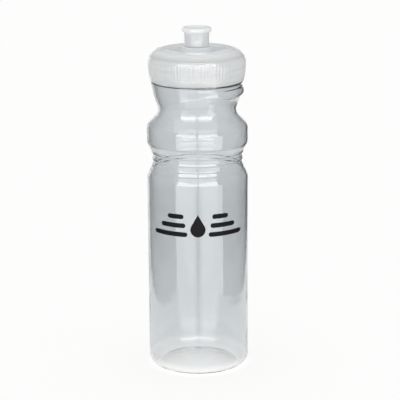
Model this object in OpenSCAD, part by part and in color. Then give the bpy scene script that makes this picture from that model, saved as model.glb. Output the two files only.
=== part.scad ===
// Bicycle water bottle: a blown clear bottle, a screw cap with a sealing ring,
// a push-pull spout and a printed mark.  Millimetres, +Z up, and the origin is
// at the centre of the standing ring.  The printed side faces -Y.

/* [Bottle] */
// Outside diameter of the straight barrel, the size that a bottle cage grips
barrel_d = 73; // [72:0.5:75]
// Height of the top of the straight barrel
barrel_top = 142.2; // [138:0.2:146]
// Wall thickness of the blown bottle
wall = 0.9; // [0.8:0.05:1.0]
// Radius of the round heel at the foot of the barrel
heel_r = 7; // [7:0.5:10]
// Depth of the hollow pushed up into the base
punt_depth = 5.5; // [4:0.5:8]
// Radius of the narrow waist under the neck
waist_r = 27.2; // [27:0.1:28.5]

/* [Neck thread] */
// Outside radius of the plain neck
neck_r = 31.4; // [31.2:0.1:31.6]
// Height of the neck's rim above the base
rim_z = 228.4; // [228:0.1:229]
// Rise of the thread in one turn
lead = 4.5; // [4.2:0.1:4.8]
// Radial height of the neck's thread ridge
ridge_h = 1.1; // [0.9:0.1:1.2]

/* [Cap] */
// Largest outside radius of the cap
cap_r = 34.95; // [34.8:0.05:35.2]
// Height of the skirt's lower edge when closed
skirt_z = 212.2; // [212:0.1:213]
// Height of the deck's outer edge when closed
deck_z = 235.2; // [234.8:0.1:235.5]
// Number of grip flutes round the skirt
flutes = 90; // [60:1:100]

/* [Spout] */
// Height of the lip when the spout is pushed down
lip_z = 249.9; // [249.5:0.1:251]
// Radius of the lip that the teeth hold
lip_r = 10.75; // [10.4:0.05:11]
// How far the spout pulls up
spout_travel = 5; // [4.5:0.5:5]

/* [Printed mark] */
// Width of the printed mark across the front
mark_w = 61; // [50:1:64]
// Height of the middle of the mark above the base
mark_z = 113; // [90:1:115]
// Thickness of the ink
ink = 0.04; // [0.03:0.01:0.06]

/* [Hidden] */
$fn = 96;
barrel_r = barrel_d / 2;
seal_t = 1.4;
seat_z = rim_z + seal_t;
thread_gap = 0.35;             // between a ridge's tip and the wall it faces
thread_z = 217.6;              // middle of the neck's ridge where it starts
thread_drop = 2.0;             // how far the cap's ridge lies below it
skirt_in_r = neck_r + ridge_h + 0.5;
ridge_root_w = 2.5;            // width of a thread ridge where it meets the wall
ridge_tip_w = 1.1;
ridge_sink = 0.3;              // how far a ridge's root lies inside the wall
post_r = 6.2;
bore_gap = 0.08;               // running fit of the spout on its post and plug
plug_r = 3.12;
spout_foot = deck_z + 1.3;
catch_z = spout_foot + 1.6;    // step in the spout's bore that the post's bead stops
bead_low = catch_z + spout_travel - 0.2;
post_top = bead_low + 1.5;
cross_t = 1.4;                 // thickness of the cross that carries the plug
cross_h = 2.2;
bead_shift = 2.0;              // the shoulder bead is blown off centre, towards +X
bead_reach = 31.7;             // mean outside radius of that bead
bead_z = 204.5;
bead_round = 3.8;
ditch_shift = -0.95;           // the groove over the bead is deepest on the same side
ditch_reach = 32.45;
ditch_z = 209.3;
ditch_round = 1.1;
clear_pet = [0.80, 0.84, 0.86, 0.35];
milky = [0.90, 0.91, 0.92];
spout_white = [0.93, 0.93, 0.94];

// ---- outlines -------------------------------------------------------------
// An outline is a list of corners [radius, height, rounding].

function unit(v) = v / norm(v);
function flat(p) = [p[0], p[1]];

// The arc of radius f that rounds corner b of the path a, b, c
function corner_arc(a, b, c, f) =
    let (u = unit(a - b), v = unit(c - b),
         half = acos(u * v) / 2,
         middle = b + unit(u + v) * f / sin(half),
         first = b + u * f / tan(half) - middle,
         turn = (180 - 2 * half) * sign(u.y * v.x - u.x * v.y),
         start = atan2(first.y, first.x),
         steps = max(2, ceil(abs(turn) / 8)))
    [for (i = [0:steps]) middle + f * [cos(start + turn * i / steps), sin(start + turn * i / steps)]];

// A path with its corners rounded; a rounding of 0 keeps the corner sharp
function rounded(corners) =
    let (last = len(corners) - 1)
    [for (i = [0:last])
        let (b = flat(corners[i]), f = corners[i][2])
        each (i == 0 || i == last || f == 0
            ? [b]
            : corner_arc(flat(corners[i - 1]), b, flat(corners[i + 1]), f))];

// The same for a closed outline
function rounded_loop(corners) =
    let (n = len(corners))
    [for (i = [0:n - 1])
        let (b = flat(corners[i]), f = corners[i][2])
        each (f == 0
            ? [b]
            : corner_arc(flat(corners[(i + n - 1) % n]), b, flat(corners[(i + 1) % n]), f))];

// The corners of a path moved t to its left, with each rounding to suit
function inset(corners, t) =
    let (last = len(corners) - 1)
    [for (i = [0:last])
        let (b = flat(corners[i]),
             before = i == 0 ? unit(flat(corners[1]) - b) : unit(b - flat(corners[i - 1])),
             after = i == last ? before : unit(flat(corners[i + 1]) - b),
             n1 = [-before.y, before.x], n2 = [-after.y, after.x],
             left = before.x * after.y - before.y * after.x,
             f = corners[i][2],
             moved = b + t * (n1 + n2) / (1 + n1 * n2))
        [moved.x, moved.y, f == 0 ? 0 : max(0.25, f - sign(left) * t)]];

// Outside of the bottle from the middle of the base to the rim
stand_in_r = 28.3;             // inner edge of the flat standing ring
bottle_corners = concat(
    [for (r = [0:4:24]) [r, punt_depth * (1 - pow(r / stand_in_r, 2)), 0]],
    [[stand_in_r, 0, 2.5],
     [barrel_r, 0, heel_r],
     // shoulder and the ribbed grip groove that a cage's tab drops into
     [barrel_r, barrel_top, 3.2],
     [barrel_r - 2.2, barrel_top + 5.0, 1.2],
     [barrel_r - 2.9, barrel_top + 5.4, 1.0],
     [barrel_r - 3.4, barrel_top + 7.9, 1.0],
     [barrel_r - 4.1, barrel_top + 8.5, 1.0],
     [barrel_r - 4.3, barrel_top + 11.8, 1.0],
     [barrel_r - 3.7, barrel_top + 13.0, 1.0],
     [barrel_r - 4.2, barrel_top + 14.3, 1.0],
     [barrel_r - 4.0, barrel_top + 16.8, 1.0],
     [barrel_r - 3.1, barrel_top + 17.9, 1.0],
     [barrel_r - 3.0, barrel_top + 19.7, 1.0],
     // the round bulge above it
     [barrel_r, barrel_top + 24.8, 4.0],
     [barrel_r, barrel_top + 37.2, 5.5],
     // waist and the cone up to the neck
     [waist_r, 188.9, 6.5],
     [31.2, 201.4, 8],
     [33.0, 210.2, 1.5],
     [33.0, 211.4, 0.45],
     [neck_r, 211.9, 0.4],
     [neck_r, rim_z, 0]]);
inner_corners = inset(bottle_corners, wall);
rim_inner = [neck_r - wall, rim_z];
inner_path = [for (p = rounded(inner_corners)) [p.x < 0.1 ? 0 : p.x, min(p.y, rim_z)]];

module turned(points) rotate_extrude() polygon(points);

// A ring of round section whose middle is moved along X
module off_centre_ring(reach, section_r, shift, z)
    translate([shift, 0, z]) rotate_extrude() translate([reach, 0]) circle(section_r);

// ---- thread ---------------------------------------------------------------

// A helical ridge of trapezoid section that runs out at both ends
module ridge(root_r, tip_r, turns, z_start) {
    per_turn = 60;
    steps = per_turn * turns;
    runout = 8;
    function section(i) =
        let (a = 360 * i / per_turn,
             z = z_start + lead * i / per_turn,
             k = max(0.02, min(1, i / runout, (steps - i) / runout)),
             r = root_r + (tip_r - root_r) * k)
        [for (p = [[root_r, -ridge_root_w / 2], [r, -ridge_tip_w / 2],
                   [r, ridge_tip_w / 2], [root_r, ridge_root_w / 2]])
            [p.x * cos(a), p.x * sin(a), z + p.y]];
    points = [for (i = [0:steps]) each section(i)];
    // the section runs the other way round where the ridge stands inwards
    out = tip_r > root_r;
    function quad(a, b, c, d) = out ? [[a, b, c], [a, c, d]] : [[a, c, b], [a, d, c]];
    sides = [for (i = [0:steps - 1], j = [0:3])
        let (k = 4 * i + j, m = 4 * i + (j + 1) % 4)
        each quad(k, m, m + 4, k + 4)];
    e = 4 * steps;
    ends = concat(quad(3, 2, 1, 0), quad(e, e + 1, e + 2, e + 3));
    polyhedron(points, concat(sides, ends), convexity = 6);
}

// ---- pieces ---------------------------------------------------------------

// Blown clear bottle: one skin from the punt to the rim, with the neck's thread
module bottle_body() color(clear_pet) {
    difference() {
        union() {
            turned(concat(rounded(bottle_corners), [[0, rim_z]]));
            off_centre_ring(bead_reach - bead_round, bead_round, bead_shift, bead_z);
        }
        off_centre_ring(ditch_reach + ditch_round, ditch_round, ditch_shift, ditch_z);
        difference() {
            union() {
                turned(concat(inner_path, [[rim_inner.x, rim_z + 1], [0, rim_z + 1]]));
                off_centre_ring(bead_reach - bead_round, bead_round - wall, bead_shift, bead_z);
            }
            off_centre_ring(ditch_reach + ditch_round, ditch_round + wall, ditch_shift, ditch_z);
        }
    }
    ridge(neck_r - ridge_sink, neck_r + ridge_h, 1.5, thread_z);
}

// The mark's flat art: a drop between two sets of tapering bars
module mark_art() {
    h = mark_w * 0.27;
    drop_r = h * 0.33;
    bar_gap = 2.2;                 // between the drop and the longest bar
    tip = h - drop_r;              // from the middle of the drop's round end to its tip
    lean = acos(drop_r / tip);
    bar_h = h * 0.21;
    translate([0, drop_r - h / 2]) {
        circle(drop_r);
        polygon([[0, 0], drop_r * [sin(lean), cos(lean)], [0, tip], drop_r * [-sin(lean), cos(lean)]]);
    }
    for (side = [-1, 1], row = [0:2]) {
        inner = drop_r + bar_gap + row * 1.3;
        outer = mark_w / 2 - row * 4.5;
        y = h / 2 - bar_h / 2 - row * (h - bar_h) / 2;
        translate([side * (inner + outer) / 2, -y]) {
            square([outer - inner - bar_h, bar_h], center = true);
            for (end = [-1, 1]) translate([end * (outer - inner - bar_h) / 2, 0]) circle(bar_h / 2);
        }
    }
}

// One coat of screen ink on the front of the barrel
module printed_mark() color([0.03, 0.03, 0.03])
    intersection() {
        translate([0, 0, mark_z]) rotate([90, 0, 0]) linear_extrude(barrel_r + 2) mark_art();
        translate([0, 0, mark_z - mark_w / 4]) difference() {
            cylinder(h = mark_w / 2, r = barrel_r + ink);
            translate([0, 0, -1]) cylinder(h = mark_w / 2 + 2, r = barrel_r);
        }
    }

// Flat soft ring between the bottle's rim and the cap
module sealing_ring() color([0.95, 0.95, 0.95])
    translate([0, 0, rim_z]) difference() {
        cylinder(h = seal_t, r = neck_r + 0.9);
        translate([0, 0, -1]) cylinder(h = seal_t + 2, r = neck_r - 2.6);
    }

// Section of the cap: skirt, round shoulder, dished deck, boss and hollow post
cap_section = rounded_loop([
    [skirt_in_r, skirt_z, 0.25],
    [cap_r - 1.1, skirt_z, 0.4],
    [cap_r - 0.5, skirt_z + 3.5, 6],
    [cap_r, skirt_z + 9.5, 20],
    [cap_r, deck_z, 9.3],
    [18.6, deck_z - 1.2, 2],
    [17.9, deck_z - 1.9, 0.6],
    [12.2, deck_z - 2.1, 2.4],
    [9.7, deck_z + 1.1, 0.5],
    [post_r, deck_z + 1.1, 0.2],
    // snap bead that stops the spout
    [post_r, bead_low, 0.2],
    [post_r + 0.65, bead_low + 0.4, 0.2],
    [post_r + 0.65, bead_low + 0.8, 0.2],
    [post_r, post_top, 0.2],
    [post_r - 1.6, post_top, 0.2],
    [post_r - 1.6, deck_z - 4.3, 0.5],
    [16, deck_z - 4.0, 2],
    [26.4, deck_z - 3.3, 1],
    [28.4, seat_z, 0.5],
    [skirt_in_r, seat_z, 0.4]]);

// Moulded screw cap with its thread, grip flutes, post and tip plug
module screw_cap() color(milky) {
    difference() {
        turned(cap_section);
        for (i = [0:flutes - 1])
            rotate(360 * (i + 0.5) / flutes) translate([cap_r + 0.1, 0, skirt_z + 3.6])
                rotate([0, 1.2, 0]) cylinder(h = 11.4, r = 0.62, $fn = 24);
    }
    ridge(skirt_in_r + ridge_sink, neck_r + thread_gap, 1, thread_z - thread_drop);
    // plug that closes the spout's hole, on a cross over the open post
    for (turn = [0, 90]) rotate(turn)
        translate([1 - post_r, -cross_t / 2, post_top - 1.2]) cube([2 * post_r - 2, cross_t, cross_h]);
    translate([0, 0, post_top + 0.8]) cylinder(h = 2, r = plug_r);
    translate([0, 0, post_top + 2.8]) cylinder(h = 0.5, r1 = plug_r, r2 = plug_r - 0.5);
}

// Section of the spout: tube, flared lip, drinking cup, hole and sliding bore
spout_section = rounded_loop([
    [post_r + bore_gap, spout_foot, 0.2],
    [9.05, spout_foot, 0.4],
    [8.85, spout_foot + 4.5, 20],
    [9.05, lip_z - 4.0, 1.2],
    [lip_r, lip_z - 2.6, 0.5],
    [lip_r, lip_z - 0.9, 0.6],
    [lip_r - 1.0, lip_z, 0.7],
    [lip_r - 2.6, lip_z, 0.8],
    [lip_r - 3.8, lip_z - 1.2, 1.0],
    [plug_r + bore_gap, lip_z - 1.8, 0.4],
    [plug_r + bore_gap, post_top + 1.4, 0.3],
    [post_r + 0.95, post_top + 1.4, 0.4],
    [post_r + 0.95, catch_z, 0.3],
    [post_r + bore_gap, catch_z - 0.7, 0.3]]);

// Push-pull spout, snapped over the cap's post
module push_pull_spout() color(spout_white) turned(spout_section);

bottle_body();
printed_mark();
sealing_ring();
screw_cap();
push_pull_spout();
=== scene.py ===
import math

import bmesh
import bpy
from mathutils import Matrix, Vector


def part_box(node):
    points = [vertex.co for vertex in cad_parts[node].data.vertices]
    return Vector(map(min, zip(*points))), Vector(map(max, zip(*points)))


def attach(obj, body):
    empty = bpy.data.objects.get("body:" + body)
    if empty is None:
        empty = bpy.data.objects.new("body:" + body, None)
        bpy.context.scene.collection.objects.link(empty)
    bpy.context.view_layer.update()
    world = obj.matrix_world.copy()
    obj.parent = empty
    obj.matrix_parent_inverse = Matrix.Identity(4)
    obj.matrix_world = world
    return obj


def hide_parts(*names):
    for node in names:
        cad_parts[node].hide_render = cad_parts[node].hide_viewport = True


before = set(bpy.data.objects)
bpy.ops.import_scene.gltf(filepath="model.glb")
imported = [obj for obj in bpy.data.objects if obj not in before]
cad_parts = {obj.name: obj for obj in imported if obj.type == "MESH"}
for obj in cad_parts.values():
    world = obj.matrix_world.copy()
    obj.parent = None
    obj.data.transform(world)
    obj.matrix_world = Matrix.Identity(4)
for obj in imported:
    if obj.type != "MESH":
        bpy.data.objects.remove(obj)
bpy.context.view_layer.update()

# ---- Bottle ---------------------------------------------------------------
# A clear bottle blown in one skin: a base pushed up inside, a straight barrel that the cage grips, a ribbed
# groove for the cage's tab, a round bulge, a waist, and a cone up to the neck with its thread. Heights and
# radii below are in millimetres, as on the bottle's drawing.

MM = 0.001
barrel_r = (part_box("bottle_body")[1][0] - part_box("bottle_body")[0][0]) / 2 / MM
rim_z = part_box("bottle_body")[1][2] / MM
wall = 0.9
punt_depth = 5.5
stand_r = 28.3
heel_r = 7.0
waist_r = 27.2
neck_r = 31.4
barrel_top = 142.2
lead = 4.5
thread_z = 217.6
thread_turns = 1.5
thread_h = 1.1
cone_r, cone_z = 31.2, 201.4
bead_z, bead_round, bead_reach, bead_shift = 204.5, 3.8, 31.7, 2.0
ditch_z, ditch_round, ditch_reach, ditch_shift = 209.3, 1.1, 32.45, -0.95
heel_ring_z, heel_ring_h = 1.5, 0.22


def corner_angle(before, here, after):
    """Half the angle between the two edges that meet at a corner."""
    return (Vector(before) - Vector(here)).angle(Vector(after) - Vector(here)) / 2


def outline(name, corners, closed=False):
    """A chain of edges in the XZ plane, drawn by extruding one point from corner to corner. A corner is
    (radius, height, rounding, cuts up to the next corner)."""
    bpy.ops.object.select_all(action="DESELECT")
    bpy.ops.mesh.primitive_plane_add(size=MM)
    piece = bpy.context.object
    piece.name = piece.data.name = name
    places = [Vector((c[0] * MM, 0, c[1] * MM)) for c in corners]
    bpy.ops.object.mode_set(mode="EDIT")
    bpy.ops.mesh.select_all(action="SELECT")
    bpy.ops.mesh.merge(type="CENTER")
    bpy.ops.transform.translate(value=places[0])
    for here, there in zip(places, places[1:]):
        bpy.ops.mesh.extrude_region_move(TRANSFORM_OT_translate={"value": there - here})
    if closed:
        bpy.ops.mesh.select_all(action="SELECT")
        bpy.ops.mesh.edge_face_add()
        bpy.ops.mesh.delete(type="ONLY_FACE")
    for i, corner in enumerate(corners):
        if corner[2]:
            half = corner_angle(places[i - 1], places[i], places[(i + 1) % len(places)])
            turn = math.pi - 2 * half
            pick_corner(piece, places[i])
            step = 0.04 if corner[2] > 6.9 else 0.13 if corner[2] > 0.7 else 0.26
            bpy.ops.mesh.bevel(offset=corner[2] * MM / math.tan(half), affect="VERTICES",
                               segments=max(2, round(turn / step)), profile=0.5)
    for i, corner in enumerate(corners):
        if len(corner) > 3:
            pick_stretch(piece, places[i], places[(i + 1) % len(places)])
            bpy.ops.mesh.subdivide(number_cuts=corner[3])
    bpy.ops.object.mode_set(mode="OBJECT")
    return piece


def pick_corner(piece, place):
    """Selects the point of an outline that lies at a place."""
    mesh = bmesh.from_edit_mesh(piece.data)
    mesh.select_mode = {"VERT"}
    for point in mesh.verts:
        point.select = (point.co - place).length < 2e-6
    mesh.select_flush_mode()
    bmesh.update_edit_mesh(piece.data)


def pick_stretch(piece, start, end):
    """Selects the longest edge of an outline that runs along the line between two corners."""
    mesh = bmesh.from_edit_mesh(piece.data)
    mesh.select_mode = {"VERT"}
    along = (end - start).normalized()
    on_line = [edge for edge in mesh.edges
               if all((point.co - start).cross(along).length < 2e-6 for point in edge.verts)]
    longest = max(on_line, key=lambda edge: edge.calc_length())
    for point in mesh.verts:
        point.select = point in longest.verts
    mesh.select_flush_mode()
    bmesh.update_edit_mesh(piece.data)


def spun(piece, steps, sectors=12):
    """The outline turned once round the Z axis, one sector and then its copies, joined where they meet, with
    its faces outwards."""
    sector = 2 * math.pi / sectors
    bpy.ops.object.mode_set(mode="EDIT")
    bpy.ops.mesh.select_all(action="SELECT")
    bpy.ops.mesh.spin(steps=steps // sectors, angle=sector, center=(0, 0, 0), axis=(0, 0, 1))
    bpy.ops.mesh.select_all(action="SELECT")
    bpy.ops.mesh.spin(steps=sectors, angle=2 * math.pi, center=(0, 0, 0), axis=(0, 0, 1), dupli=True)
    bpy.ops.mesh.select_all(action="SELECT")
    bpy.ops.mesh.remove_doubles(threshold=2e-6)
    bpy.ops.mesh.normals_make_consistent(inside=False)
    bpy.ops.object.mode_set(mode="OBJECT")
    return piece


def pressed(piece, push):
    """Moves each point outwards by push(radius, turn, height), in millimetres and turns."""
    for point in piece.data.vertices:
        radius = math.hypot(point.co.x, point.co.y)
        if radius < 1e-6:
            continue
        turn = math.atan2(point.co.y, point.co.x) / (2 * math.pi) % 1
        grow = 1 + push(radius / MM, turn, point.co.z / MM) * MM / radius
        point.co.x *= grow
        point.co.y *= grow


def smooth_step(value):
    value = min(1, max(0, value))
    return value * value * (3 - 2 * value)


def thread_shape(turn, height, start, turns):
    """1 on the middle of a helical ridge that starts at that height, 0 away from it."""
    best = 0
    for whole in range(math.ceil(turns) + 1):
        along = turn + whole
        if along > turns:
            break
        off = abs(height - start - lead * along)
        runout = min(1, along / 0.13, (turns - along) / 0.13)
        best = max(best, smooth_step((1.25 - off) / 0.7) * smooth_step(runout))
    return best


def hardened(piece, angle):
    """Smooth shading with edges over that angle kept sharp."""
    bpy.ops.object.select_all(action="DESELECT")
    piece.select_set(True)
    bpy.context.view_layer.objects.active = piece
    bpy.ops.object.shade_smooth_by_angle(angle=math.radians(angle))


bottle_outline = [(r, punt_depth * (1 - (r / stand_r) ** 2), 0) for r in range(0, 25, 3)] + [
    (stand_r, 0, 2.5), (barrel_r, 0, heel_r), (barrel_r, barrel_top, 3.2),
    (barrel_r - 2.2, barrel_top + 5.0, 1.2), (barrel_r - 2.9, barrel_top + 5.4, 1.0),
    (barrel_r - 3.4, barrel_top + 7.9, 1.0), (barrel_r - 4.1, barrel_top + 8.5, 1.0),
    (barrel_r - 4.3, barrel_top + 11.8, 1.0), (barrel_r - 3.7, barrel_top + 13.0, 1.0),
    (barrel_r - 4.2, barrel_top + 14.3, 1.0), (barrel_r - 4.0, barrel_top + 16.8, 1.0),
    (barrel_r - 3.1, barrel_top + 17.9, 1.0), (barrel_r - 3.0, barrel_top + 19.7, 1.0),
    (barrel_r, barrel_top + 24.8, 4.0), (barrel_r, barrel_top + 37.2, 5.5),
    (waist_r, 188.9, 6.5), (cone_r, cone_z, 8, 20), (33.0, 210.2, 1.5), (33.0, 211.4, 0.45),
    (neck_r, 211.9, 0.4, 52), (neck_r, rim_z, 0)]
bottle = spun(outline("bottle_skin", bottle_outline), 144)


def blown(radius, turn, height):
    """A faint ring in the heel, the thread, and the bead and ditch under the cap, both blown off centre."""
    push = 0
    if height < 3 and radius > stand_r + 0.7:
        push += heel_ring_h * smooth_step(1 - abs(height - heel_ring_z) / 1.1)
    if height > 213 and radius > neck_r - 0.1:
        push += thread_h * thread_shape(turn, height, thread_z, thread_turns)
    if 199 < height < 211.3 and radius > 28:
        side = math.cos(2 * math.pi * turn)
        rise, reach = (8.8, 1.8) if height > cone_z else (12.5, cone_r - waist_r)
        cone = cone_r + (height - cone_z) * reach / rise
        if abs(height - bead_z) < bead_round:
            bulge = math.sqrt(bead_round ** 2 - (height - bead_z) ** 2) - bead_round
            push += max(0, bead_reach + bead_shift * side + bulge - cone)
        if abs(height - ditch_z) < ditch_round:
            rim = ditch_round - math.sqrt(ditch_round ** 2 - (height - ditch_z) ** 2)
            push -= max(0, cone + push - ditch_reach - ditch_shift * side - rim)
    return push


pressed(bottle, blown)
skin = bottle.modifiers.new("wall", "SOLIDIFY")
skin.thickness = wall * MM
skin.offset = -1
skin.use_even_offset = True
bpy.context.view_layer.objects.active = bottle
bpy.ops.object.modifier_apply(modifier="wall")
hardened(bottle, 50)


class Line:
    """A value, colour or vector on its way through a material. Python's signs add Math nodes to it, and add()
    any other node."""

    def __init__(self, tree, socket):
        self.tree, self.socket = tree, socket

    def add(self, kind, settings, values, output=0):
        node = self.tree.nodes.new("ShaderNode" + kind)
        for name, value in settings.items():
            if name == "stops":
                for stop in value[2:]:
                    node.color_ramp.elements.new(stop[0])
                for element, (place, colour) in zip(node.color_ramp.elements, value):
                    element.position, element.color = place, colour
            else:
                setattr(node, name, value)
        for name, value in values.items():
            if isinstance(value, Line):
                self.tree.links.new(value.socket, node.inputs[name])
            else:
                node.inputs[name].default_value = value
        return Line(self.tree, node.outputs[output])

    def math(self, operation, first, second):
        return self.add("Math", {"operation": operation}, {0: first, 1: second})

    def __add__(self, other):
        return self.math("ADD", self, other)

    def __radd__(self, other):
        return self.math("ADD", other, self)

    def __sub__(self, other):
        return self.math("SUBTRACT", self, other)

    def __rsub__(self, other):
        return self.math("SUBTRACT", other, self)

    def __mul__(self, other):
        return self.math("MULTIPLY", self, other)

    def __rmul__(self, other):
        return self.math("MULTIPLY", other, self)

    def __abs__(self):
        return self.math("ABSOLUTE", self, 0.0)

    def at_most(self, other):
        return self.math("MINIMUM", self, other)

    def at_least(self, other):
        return self.math("MAXIMUM", self, other)

    def part(self, axis):
        return self.add("SeparateXYZ", {}, {"Vector": self}, output="XYZ".index(axis))

    def stretched(self, scale):
        return self.add("Mapping", {}, {"Vector": self, "Scale": scale})

    def ramp(self, *stops):
        return self.add("ValToRGB", {"stops": stops}, {"Fac": self})

    def noise(self, scale, detail=3.0, roughness=0.5):
        return self.add("TexNoise", {}, {"Vector": self, "Scale": scale, "Detail": detail,
                                         "Roughness": roughness})

    def smooth(self, low, high, bottom=0.0, top=1.0):
        return self.add("MapRange", {"interpolation_type": "SMOOTHSTEP"},
                        {"Value": self, "From Min": low, "From Max": high, "To Min": bottom, "To Max": top})

    def bump(self, strength, distance):
        return self.add("Bump", {}, {"Height": self, "Strength": strength, "Distance": distance})


def finish_of(name, values):
    """A new material: its shader with constant values set on it, and its Object coordinates."""
    material = bpy.data.materials.new(name)
    material.use_nodes = True
    shader = material.node_tree.nodes["Principled BSDF"]
    for socket, value in values.items():
        shader.inputs[socket].default_value = value
    place = material.node_tree.nodes.new("ShaderNodeTexCoord")
    return material, shader, Line(material.node_tree, place.outputs["Object"])


def feed(shader, **lines):
    for name, line in lines.items():
        line.tree.links.new(line.socket, shader.inputs[name.replace("_", " ")])


clear_pet, shader, place = finish_of("clear_pet", {"Transmission Weight": 1.0, "IOR": 1.50})
# the lightest tint paints light onto the base and the deepest paints shade on the middle of the barrel; the
# other tints are the plastic's own
painted_base_light = (0.94, 0.946, 0.95, 1)
foot_tint = (0.79, 0.81, 0.823, 1)
painted_barrel_shade = (0.735, 0.757, 0.772, 1)
# the height runs from 0 at the base to 1 just over the cap, for the colour ramp
height = place.part("Z") * 4
swell = place.noise(70, 2.0)
streak = place.stretched((1, 1, 0.03)).noise(420, 2.0)
rings = place.stretched((0.06, 0.06, 1)).noise(420, 2.0)
under_cap = height.smooth(0.775, 0.83)
bulge = height.smooth(0.65, 0.68) * height.smooth(0.73, 0.71)
feed(shader,
     Base_Color=height.ramp((0.02, painted_base_light), (0.036, foot_tint), (0.26, painted_barrel_shade), (0.5, painted_barrel_shade),
                            (0.58, foot_tint), (0.8, (0.80, 0.82, 0.832, 1))),
     Roughness=place.noise(900) * 0.03 + 0.01 + under_cap * 0.09,
     Normal=(swell * (0.85 + 1.1 * bulge) + streak * 0.15 + rings * under_cap * 0.16).bump(0.11, 0.002))
bottle.data.materials.append(clear_pet)
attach(bottle, "bottle")
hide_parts("bottle_body")

# ---- Printed mark ---------------------------------------------------------
# One coat of black screen ink on the front of the barrel: a drop between two sets of tapering bars.

mark_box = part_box("printed_mark")
mark_w = (mark_box[1][0] - mark_box[0][0]) / MM
mark_h = (mark_box[1][2] - mark_box[0][2]) / MM
mark_z = (mark_box[1][2] + mark_box[0][2]) / 2 / MM
ink = 0.06


def flat_round(radius, at, points=48):
    bpy.ops.mesh.primitive_circle_add(vertices=points, radius=radius * MM, fill_type="NGON",
                                      location=(at[0] * MM, 0, at[1] * MM), rotation=(math.pi / 2, 0, 0))
    return bpy.context.object


drop_r = mark_h * 0.33
drop_z = mark_z - mark_h / 2 + drop_r
tip = mark_h - drop_r
lean = math.acos(drop_r / tip)
bpy.ops.object.select_all(action="DESELECT")
drop = flat_round(drop_r, (0, drop_z), 64)
bpy.ops.object.transform_apply()
for point in drop.data.vertices:
    # the top of the round is drawn up to the drop's tip along the two tangents
    x, z = point.co.x / MM, point.co.z / MM - drop_z
    around = math.atan2(abs(x), z)
    if around < lean:
        reach = drop_r / math.cos(lean - around)
        point.co.x = math.copysign(reach * math.sin(around), x) * MM if abs(x) > 1e-4 else 0
        point.co.z = (drop_z + reach * math.cos(around)) * MM
bars = [drop]
bar_h = mark_h * 0.21
bar_gap = 2.2
inner_step, outer_step = 1.3, 4.5
for side in (-1, 1):
    for row in range(3):
        inner = drop_r + bar_gap + row * inner_step
        outer = mark_w / 2 - row * outer_step
        z = mark_z - mark_h / 2 + bar_h / 2 + row * (mark_h - bar_h) / 2
        middle = side * (inner + outer) / 2
        bar = flat_round(bar_h / 2, (middle, z), 32)
        bpy.ops.object.transform_apply()
        stretch = (outer - inner - bar_h) / 2
        for point in bar.data.vertices:
            off = point.co.x / MM - middle
            if abs(off) > 1e-4:
                point.co.x += math.copysign(stretch, off) * MM
        bars.append(bar)
bpy.ops.object.select_all(action="DESELECT")
for bar in bars:
    bar.select_set(True)
bpy.context.view_layer.objects.active = drop
bpy.ops.object.join()
mark = drop
mark.name = mark.data.name = "printed_drop"
bpy.ops.object.mode_set(mode="EDIT")
for x in range(-30, 31):
    bpy.ops.mesh.select_all(action="SELECT")
    bpy.ops.mesh.bisect(plane_co=(x * MM, 0, 0), plane_no=(1, 0, 0))
bpy.ops.mesh.select_all(action="SELECT")
bpy.ops.mesh.normals_make_consistent(inside=False)
bpy.ops.object.mode_set(mode="OBJECT")
for point in mark.data.vertices:
    point.co.y = -math.sqrt(((barrel_r + ink) * MM) ** 2 - point.co.x ** 2)
if mark.data.polygons[0].normal.y > 0:
    mark.data.flip_normals()
coat = mark.modifiers.new("coat", "SOLIDIFY")
coat.thickness = 0.05 * MM
coat.offset = -1
bpy.ops.object.modifier_apply(modifier="coat")
hardened(mark, 40)

black_ink, shader, place = finish_of("black_ink", {"Specular IOR Level": 0.12})
grain = place.noise(1800, 2.0)
feed(shader,
     Base_Color=grain.ramp((0.3, (0.006, 0.006, 0.007, 1)), (0.8, (0.016, 0.016, 0.018, 1))),
     Roughness=grain * 0.15 + 0.5, Normal=grain.bump(0.08, 0.0003))
mark.data.materials.append(black_ink)
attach(mark, "bottle")
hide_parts("printed_mark")

# ---- Sealing ring ---------------------------------------------------------
# A flat ring of soft foamed plastic that lies in the cap, on the rim of the neck, and lifts with the cap.

seal_low, seal_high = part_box("sealing_ring")
seal_out = seal_high[0] / MM
seal_z0, seal_z1 = seal_low[2] / MM, seal_high[2] / MM
seal = spun(outline("seal_ring", [
    (neck_r - 2.6, seal_z0, 0.15), (seal_out, seal_z0, 0.35), (seal_out, seal_z1, 0.35),
    (neck_r - 2.6, seal_z1, 0.15)], closed=True), 96)
hardened(seal, 50)
soft_foam, shader, place = finish_of("soft_foam", {"Roughness": 0.6})
cells = place.add("TexVoronoi", {}, {"Vector": place, "Scale": 1600.0})
feed(shader,
     Base_Color=cells.ramp((0.0, (0.62, 0.62, 0.61, 1)), (0.6, (0.78, 0.78, 0.77, 1))),
     Normal=cells.bump(0.3, 0.0002))
seal.data.materials.append(soft_foam)
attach(seal, "seal")
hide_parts("sealing_ring")

# ---- Screw cap ------------------------------------------------------------
# Injection-moulded in natural low-density polyethylene, milky and half see-through: a fluted skirt with the
# female thread, a wide round shoulder, a dished deck, and the boss and hollow post that the spout slides on.

cap_low, cap_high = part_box("screw_cap")
cap_r = cap_high[0] / MM
skirt_z = cap_low[2] / MM
skirt_in_r = 33.0
deck_z = 235.2
seat_z = seal_z1
post_r = 6.2
foot_z = deck_z + 1.3
bead_low = foot_z + 6.4
post_top = bead_low + 1.5
plug_r = 3.12
cross_t, cross_h = 1.4, 2.2
flutes = 90
flute_depth = 0.28
crease_z = 230.1
crease_depth = 0.22
ridge_h, ridge_drop, ridge_turns = 1.25, 2.0, 1.0

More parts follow.
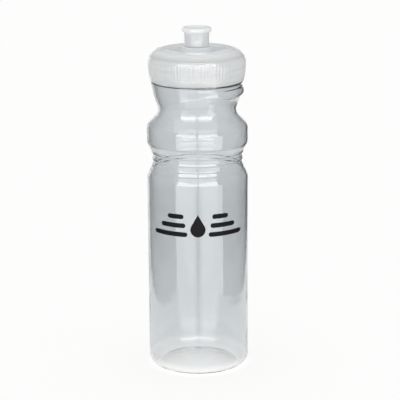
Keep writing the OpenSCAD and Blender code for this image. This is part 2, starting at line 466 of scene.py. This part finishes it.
cap = spun(outline("cap_shell", [
    (skirt_in_r, skirt_z, 0.25), (cap_r - 1.1, skirt_z, 0.4), (cap_r - 0.5, skirt_z + 3.5, 6, 14),
    (cap_r, skirt_z + 9.5, 20, 10), (cap_r, deck_z, 9.3),
    (23.6, deck_z - 0.75, 0.3), (23.2, deck_z - 0.95, 0.3), (21.3, deck_z - 0.95, 0.3),
    (20.9, deck_z - 1.15, 0.3), (18.6, deck_z - 1.2, 2), (17.9, deck_z - 1.9, 0.6),
    (12.2, deck_z - 2.1, 2.4), (9.7, deck_z + 1.1, 0.5), (post_r, deck_z + 1.1, 0.2),
    (post_r, bead_low, 0.2), (post_r + 0.65, bead_low + 0.4, 0.2), (post_r + 0.65, bead_low + 0.8, 0.2),
    (post_r, post_top, 0.2), (post_r - 1.6, post_top, 0.2), (post_r - 1.6, deck_z - 4.3, 0.5),
    (16, deck_z - 4.0, 2), (26.4, deck_z - 3.3, 1), (28.4, seat_z, 0.5), (skirt_in_r, seat_z, 0.4, 40)],
    closed=True), 360)


def moulded(radius, turn, height):
    """Grip flutes round the skirt, a fine crease round the shoulder, and the thread's ridge inside."""
    if radius > skirt_in_r + 0.4 and height < skirt_z + 16:
        fade = smooth_step((height - skirt_z - 3.4) / 1.0) * smooth_step((skirt_z + 15.2 - height) / 1.0)
        return -flute_depth * fade * (0.5 - 0.5 * math.cos(2 * math.pi * turn * flutes)) ** 1.5
    if height > crease_z and radius > skirt_in_r - 6:
        return -crease_depth * smooth_step((height - crease_z) / 0.25)
    if abs(radius - skirt_in_r) < 0.05:
        return -ridge_h * thread_shape(turn, height, thread_z - ridge_drop, ridge_turns)
    return 0


pressed(cap, moulded)
hardened(cap, 45)

# the plug and the cross that carries it over the open post
bpy.ops.object.select_all(action="DESELECT")
plug = spun(outline("cap_plug", [
    (0, post_top + 0.6, 0), (plug_r - 0.3, post_top + 0.6, 0.2), (plug_r, post_top + 1.0, 0.2),
    (plug_r, post_top + 2.8, 0.3), (plug_r - 0.5, post_top + 3.3, 0.4), (0, post_top + 3.3, 0)]), 48)
arms = []
for turn in (0, math.pi / 2):
    bpy.ops.object.select_all(action="DESELECT")
    bpy.ops.mesh.primitive_cube_add(size=1, location=(0, 0, (post_top - 0.1) * MM), rotation=(0, 0, turn),
                                    scale=(2 * (post_r - 1) * MM, cross_t * MM, cross_h * MM))
    bpy.ops.object.transform_apply()
    bpy.ops.object.mode_set(mode="EDIT")
    bpy.ops.mesh.select_all(action="SELECT")
    bpy.ops.mesh.bevel(offset=0.25 * MM, segments=3)
    bpy.ops.object.mode_set(mode="OBJECT")
    arms.append(bpy.context.object)
bpy.ops.object.select_all(action="DESELECT")
for part in (plug, *arms, cap):
    part.select_set(True)
bpy.context.view_layer.objects.active = cap
bpy.ops.object.join()
hardened(cap, 45)


def milky(name, colour, shade_colour, clearness):
    """Natural polyethylene: light soaks in and scatters, with a satin skin and level bands of painted shade
    that stand in for the thread behind it showing through."""
    material, shader, place = finish_of(name, {
        "Subsurface Weight": 1.0, "Subsurface Radius": (1.0, 1.0, 1.0), "Subsurface Scale": 0.003,
        "IOR": 1.51, "Transmission Weight": clearness, "Specular IOR Level": 1.0})
    painted_band_shade = place.stretched((0.08, 0.08, 1)).noise(430, 2.0)
    skin = place.noise(2600, 2.0)
    feed(shader,
         # the bands paint shade into the colour: level stripes of a darker tone
         Base_Color=painted_band_shade.ramp((0.35, shade_colour), (0.65, colour)),
         Roughness=skin * 0.06 + 0.13, Normal=skin.bump(0.04, 0.0002))
    return material


milky_cap = milky("milky_polyethylene", (0.93, 0.965, 1.0, 1), (0.83, 0.885, 0.94, 1), 0.14)
cap.data.materials.append(milky_cap)
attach(cap, "cap")
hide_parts("screw_cap")

# ---- Spout ----------------------------------------------------------------
# The mouthpiece: a tube with a flared lip for the teeth, a small drinking cup round the hole, and a bore that
# snaps over the post's bead. It is pulled up off the plug to drink and pushed down to shut.

spout_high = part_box("push_pull_spout")[1]
lip_r = spout_high[0] / MM
lip_z = spout_high[2] / MM
catch_z = foot_z + 1.6
bore_gap = 0.08
spout = spun(outline("spout_tube", [
    (post_r + bore_gap, foot_z, 0.2), (9.05, foot_z, 0.4), (8.85, foot_z + 4.5, 20), (9.05, lip_z - 4.0, 1.2),
    (lip_r, lip_z - 2.6, 0.5), (lip_r, lip_z - 0.9, 0.6), (lip_r - 1.0, lip_z, 0.7),
    (lip_r - 2.6, lip_z, 0.8), (lip_r - 3.8, lip_z - 1.2, 1.0), (plug_r + bore_gap, lip_z - 1.8, 0.4),
    (plug_r + bore_gap, post_top + 1.4, 0.3), (post_r + 0.95, post_top + 1.4, 0.4),
    (post_r + 0.95, catch_z, 0.3), (post_r + bore_gap, catch_z - 0.7, 0.3)],
    closed=True), 120)
hardened(spout, 45)
milky_spout = milky("white_polyethylene", (0.915, 0.957, 1.0, 1), (0.89, 0.938, 0.985, 1), 0.07)
spout.data.materials.append(milky_spout)
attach(spout, "spout")
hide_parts("push_pull_spout")

# ---- Studio ---------------------------------------------------------------
# A white table lit from below, so it takes almost no shadow, in a white room. What reflects in the bottle is
# a dark room in front of the table's edge, and two tall soft boxes side by side in it with a gap between.

bpy.ops.object.select_all(action="DESELECT")
bpy.ops.mesh.primitive_plane_add(size=12)
floor = bpy.context.object
floor.name = "floor"
room_white = 0.975
table_side = 0.197
table_front = 0.11
box_distance = 0.9
box_low, box_middle, box_high, box_top = -0.6, 0.12, 0.68, 1.25


def reflected(tree):
    """1 on a ray that has been mirrored at least once, and 0 on one that has not."""
    path = tree.nodes.new("ShaderNodeLightPath")
    return Line(tree, path.outputs["Glossy Depth"]).at_most(1.0)


def shown_where(material, shader, mask):
    """Makes a material clear where the mask is 0."""
    tree = material.node_tree
    clear = tree.nodes.new("ShaderNodeBsdfTransparent")
    mixed = tree.nodes.new("ShaderNodeMixShader")
    tree.links.new(mask.socket, mixed.inputs[0])
    tree.links.new(clear.outputs[0], mixed.inputs[1])
    tree.links.new(shader.outputs[0], mixed.inputs[2])
    tree.links.new(mixed.outputs[0], tree.nodes["Material Output"].inputs["Surface"])


pale, shader, place = finish_of("pale_floor", {
    "Base Color": (0.12, 0.12, 0.12, 1), "Roughness": 0.9, "Specular IOR Level": 0.0,
    "Emission Strength": (room_white - 0.11) / 0.78})
middle = place.add("VectorMath", {"operation": "LENGTH"}, {0: place}, output=1)
# a pool of painted light on the floor under the bottle: the table's glow is brighter and warmer within 26 mm
# of the middle, fading out by 40 mm
painted_light_pool = middle.smooth(0.026, 0.04, 1.0, 0.0)


def bright_wall(direction):
    """1 towards the white wall behind the bottle and 0 round the rest of the room. It ends sooner on the
    right, and it is dimmer higher up."""
    level = direction.add("VectorMath", {"operation": "MULTIPLY"}, {0: direction, 1: (1, 1, 0)})
    unit = level.add("VectorMath", {"operation": "NORMALIZE"}, {0: level})
    limit = unit.part("X").smooth(-0.1, 0.1, 0.82, 0.95)
    steep = direction.add("VectorMath", {"operation": "NORMALIZE"}, {0: direction})
    return (unit.part("Y") - limit).smooth(-0.04, 0.04) * steep.part("Z").smooth(0.05, 0.15, 1.0, 0.3)


right = place.part("X")
edge = place.part("Y") + right * right * 1.9
in_width = abs(right).smooth(table_side + 0.02, table_side - 0.02)
table = in_width * edge.smooth(-table_front - 0.03, -table_front + 0.03)
white = table.at_least(0.55 * bright_wall(place))
feed(shader, Emission_Color=painted_light_pool.ramp((0.0, (0.78, 0.78, 0.776, 1)), (1.0, (1, 0.99, 0.97, 1))))
shown_where(pale, shader, 1 - (1 - white) * reflected(pale.node_tree))
floor.data.materials.append(pale)

world = bpy.data.worlds.new("studio")
bpy.context.scene.world = world
world.use_nodes = True
backdrop = world.node_tree.nodes["Background"]
backdrop.inputs["Color"].default_value = (1, 1, 1, 1)
dark_room = 0.03
direction = Line(world.node_tree, world.node_tree.nodes.new("ShaderNodeTexCoord").outputs["Generated"])
ceiling = direction.part("Z").smooth(0.62, 0.78, 0.0, 0.35)
shade = (1 - ceiling.at_least(bright_wall(direction))) * reflected(world.node_tree)
world.node_tree.links.new((room_white - (room_white - dark_room) * shade).socket, backdrop.inputs["Strength"])


def soft_box(name, left, right, low, high, strength, fade):
    """A soft box that stands between two azimuths, 0 in front, and fades towards its edge near azimuth 0.
    Only mirrored rays see it."""
    middle = math.radians((left + right) / 2)
    width = 2 * box_distance * math.tan(math.radians((right - left) / 2))
    bpy.ops.object.select_all(action="DESELECT")
    bpy.ops.mesh.primitive_plane_add(
        size=1, rotation=(math.pi / 2, 0, middle),
        location=(math.sin(middle) * box_distance, -math.cos(middle) * box_distance, (low + high) / 2))
    box = bpy.context.object
    box.name = name
    box.scale = (width, high - low, 1)
    lit, shader, place = finish_of(name, {
        "Base Color": (0, 0, 0, 1), "Specular IOR Level": 0.0, "Emission Color": (1, 1, 1, 1),
        "Emission Strength": strength})
    if fade:
        inner = -0.5 if left > 0 else 0.5
        rise = (place.part("X") - inner) * (1 if left > 0 else -1)
        feed(shader, Emission_Color=rise.smooth(0.0, fade, 0.45, 1.0))
    shown_where(lit, shader, reflected(lit.node_tree))
    box.data.materials.append(lit)


# a white sheet low down in front, which the undersides of the neck and the bulge mirror
bpy.ops.object.select_all(action="DESELECT")
bpy.ops.mesh.primitive_plane_add(size=0.7, location=(0, -0.44, -0.3))
sheet = bpy.context.object
sheet.name = "front_sheet"
lit, shader, place = finish_of("front_sheet", {
    "Base Color": (0, 0, 0, 1), "Specular IOR Level": 0.0, "Emission Color": (1, 1, 1, 1),
    "Emission Strength": 0.97})
shown_where(lit, shader, reflected(lit.node_tree))
sheet.data.materials.append(lit)
soft_box("left_low", -50, -0.5, box_low, box_middle, 1.9, 0.25)
soft_box("right_low", 0.5, 58, box_low, box_middle, 2.15, 0.25)
soft_box("left_high", -48, -1.5, box_middle, box_high, 4.6, 0)
soft_box("right_high", 1.5, 48, box_middle, box_high, 4.6, 0)
soft_box("left_top", -48, -1.5, box_high, box_top, 2.2, 0)
soft_box("right_top", 1.5, 48, box_high, box_top, 2.2, 0)

view_z = 0.123
view_pitch = math.radians(14.2)
view_distance = 1.2394
view_side = 0.0016
camera_data = bpy.data.cameras.new("camera")
camera = bpy.data.objects.new("camera", camera_data)
bpy.context.collection.objects.link(camera)
camera_data.sensor_width = 36
camera_data.lens = 153
view_back = view_distance * math.cos(view_pitch)
view_up = view_distance * math.sin(view_pitch)
camera.location = (view_side, -view_back, view_z + view_up)
camera.rotation_mode = "ZYX"
camera.rotation_euler = (math.pi / 2 - view_pitch, 0, math.radians(-0.37))
bpy.context.scene.camera = camera
bpy.context.scene.view_settings.view_transform = "Standard"
